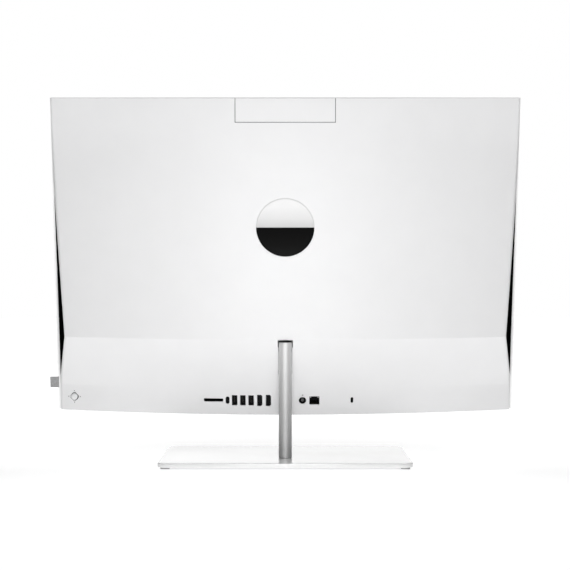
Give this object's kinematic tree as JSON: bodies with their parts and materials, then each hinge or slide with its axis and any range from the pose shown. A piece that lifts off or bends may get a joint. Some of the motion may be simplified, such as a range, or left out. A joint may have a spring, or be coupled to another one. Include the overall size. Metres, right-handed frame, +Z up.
{
  "type": "all in one computer",
  "caption": "Slim all-in-one desktop computer: a wide tilting screen body with ports, a pop-up camera and a fabric speaker strip, on a round column and flat base.",
  "frame": {"origin": "centre of the base plate on the desk surface, on the bottom face of the centre rubber foot", "axes": "+X along the width, to the right of a person who faces the screen; +Y from the screen towards the rear; +Z up"},
  "size_m": [0.6237, 0.205, 0.4789],
  "materials": {
    "white_body": "satin white moulded plastic",
    "white_gloss": "high-gloss white",
    "black_plastic": "matt black moulded plastic",
    "satin_aluminium": "satin",
    "plain_steel": "zinc-plated",
    "grey_rubber": "matt",
    "dark_glass": "polished",
    "display_back": "dark film over a light guide",
    "grey_fabric": "fine two-tone woven cloth",
    "mirror_disc": "polished two-tone disc",
    "circuit_board": "green solder mask",
    "copper": "bare copper",
    "socket_steel": "bright plated",
    "lamp_plastic": "clear light guide"
  },
  "bodies": {
    "stand": {"base_shell": "white_gloss", "base_weight": "plain_steel", "rubber_foot_1": "grey_rubber", "rubber_foot_2": "grey_rubber", "rubber_foot_3": "grey_rubber", "rubber_foot_4": "grey_rubber", "rubber_foot_centre": "grey_rubber", "base_bolt": "plain_steel", "column": "satin_aluminium", "column_plug": "plain_steel", "column_cap": "satin_aluminium", "tilt_pin": "plain_steel", "tilt_washer_left": "plain_steel", "tilt_washer_right": "plain_steel"},
    "screen": {"front_frame": "white_body", "front_glass": "dark_glass", "display_panel": "display_back", "speaker_grille": "grey_fabric", "fabric_tab": "grey_fabric", "rear_cover": "white_body", "emblem_disc": "mirror_disc", "chassis": "plain_steel", "hinge_bracket": "plain_steel", "mainboard": "circuit_board", "cold_plate": "copper", "heat_pipe": "copper", "fin_stack": "satin_aluminium", "fan_housing": "black_plastic", "solid_state_drive": "circuit_board", "wireless_card": "circuit_board", "card_reader": "black_plastic", "usb_c_socket": "socket_steel", "power_jack": "black_plastic", "network_socket": "black_plastic", "lock_plate": "plain_steel", "status_light": "lamp_plastic", "camera_cradle": "black_plastic", "joystick_switch": "black_plastic", "speaker_right": "black_plastic", "speaker_left": "black_plastic", "side_vent_right": "black_plastic", "side_vent_left": "black_plastic", "bracket_screw_right": "plain_steel", "bracket_screw_left": "plain_steel", "usb_socket_1": "socket_steel", "usb_socket_2": "socket_steel", "usb_socket_3": "socket_steel", "video_socket_1": "socket_steel", "video_socket_2": "socket_steel", "memory_module_1": "circuit_board", "memory_module_2": "circuit_board"},
    "fan": {"fan_rotor": "black_plastic"},
    "power_button": {"power_button": "white_body"},
    "camera": {"camera_housing": "white_body", "camera_lens": "dark_glass"},
    "joystick_ring": {"joystick_ring": "black_plastic"},
    "joystick_stem": {"joystick_stem": "plain_steel"},
    "joystick_cap": {"joystick_cap": "white_body"}
  },
  "joints": [
    {"name": "screen_tilt", "type": "hinge", "parent": "stand", "child": "screen", "pos_m": [0, 0.0392, 0.1485], "axis": [-1, 0, 0], "range_deg": [-5, 15]},
    {"name": "camera_slide", "type": "slide", "parent": "screen", "child": "camera", "axis": [0, 0.1685, 0.9857], "range_m": [0, 0.022]},
    {"name": "fan_spin", "type": "hinge", "parent": "screen", "child": "fan", "pos_m": [-0.19, 0.00921, 0.18041], "axis": [0, 0.9857, -0.1685], "continuous": true},
    {"name": "joystick_nod", "type": "hinge", "parent": "screen", "child": "joystick_ring", "pos_m": [0.2836, -0.0195, 0.08488], "axis": [1, 0, 0], "range_deg": [-5, 5], "stiffness_Nm_per_rad": 0.02},
    {"name": "joystick_swing", "type": "hinge", "parent": "joystick_ring", "child": "joystick_stem", "pos_m": [0.2836, -0.0195, 0.08488], "axis": [0, 0.1685, 0.9857], "range_deg": [-5, 5], "stiffness_Nm_per_rad": 0.02},
    {"name": "joystick_press", "type": "slide", "parent": "joystick_stem", "child": "joystick_cap", "axis": [0, -0.9857, 0.1685], "range_m": [0, 0.0005], "stiffness_N_per_m": 800},
    {"name": "power_press", "type": "slide", "parent": "screen", "child": "power_button", "axis": [0, 0.1685, 0.9857], "range_m": [0, 0.0008], "stiffness_N_per_m": 600}
  ]
}
